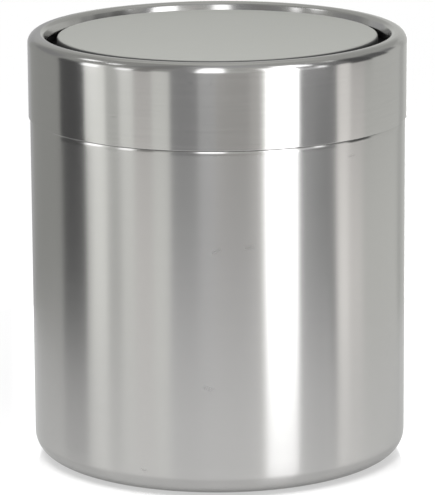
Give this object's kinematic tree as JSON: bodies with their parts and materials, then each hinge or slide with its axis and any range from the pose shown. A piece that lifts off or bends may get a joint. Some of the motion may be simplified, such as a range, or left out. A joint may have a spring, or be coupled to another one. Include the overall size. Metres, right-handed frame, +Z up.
{
  "type": "table-top swing-lid bin",
  "caption": "Small round brushed-steel bin with a lift-off steel lid ring, rolled rim and a flat grey round lid that swings on side pins and levels itself.",
  "frame": {"origin": "on the table under the middle of the can, at the underside of the foam pad", "axes": "+Z up along the can, X along the pivot pins, -Y towards the picture's camera"},
  "size_m": [0.125, 0.125, 0.142],
  "materials": {
    "can_steel": "brushed round the can",
    "collar_steel": "finely brushed, brighter than the can",
    "weight_steel": "milled",
    "pin_steel": "ground",
    "screw_steel": "plated",
    "lid_plastic": "fine matt grain, silver grey",
    "plate_plastic": "matt",
    "frame_plastic": "matt, dark",
    "bush_plastic": "waxy",
    "washer_plastic": "waxy",
    "foam_pad": "closed-cell foam"
  },
  "bodies": {
    "can": {"can_shell": "can_steel", "base_pad": "foam_pad"},
    "lid_ring": {"collar_ring": "collar_steel", "inner_frame": "frame_plastic", "pivot_bush_left": "bush_plastic", "pivot_bush_right": "bush_plastic"},
    "flap": {"flap_top": "lid_plastic", "flap_base": "plate_plastic", "flap_screws": "screw_steel", "counterweight": "weight_steel", "counterweight_screws": "screw_steel", "pivot_pin_left": "pin_steel", "pivot_pin_right": "pin_steel", "spacer_washer_left": "washer_plastic", "spacer_washer_right": "washer_plastic"}
  },
  "joints": [
    {"name": "lid_lift", "type": "slide", "parent": "can", "child": "lid_ring", "axis": [0, 0, 1], "range_m": [0, 0.07]},
    {"name": "flap_swing", "type": "hinge", "parent": "lid_ring", "child": "flap", "pos_m": [0, 0, 0.1315], "axis": [1, 0, 0], "range_deg": [-85, 85]}
  ]
}
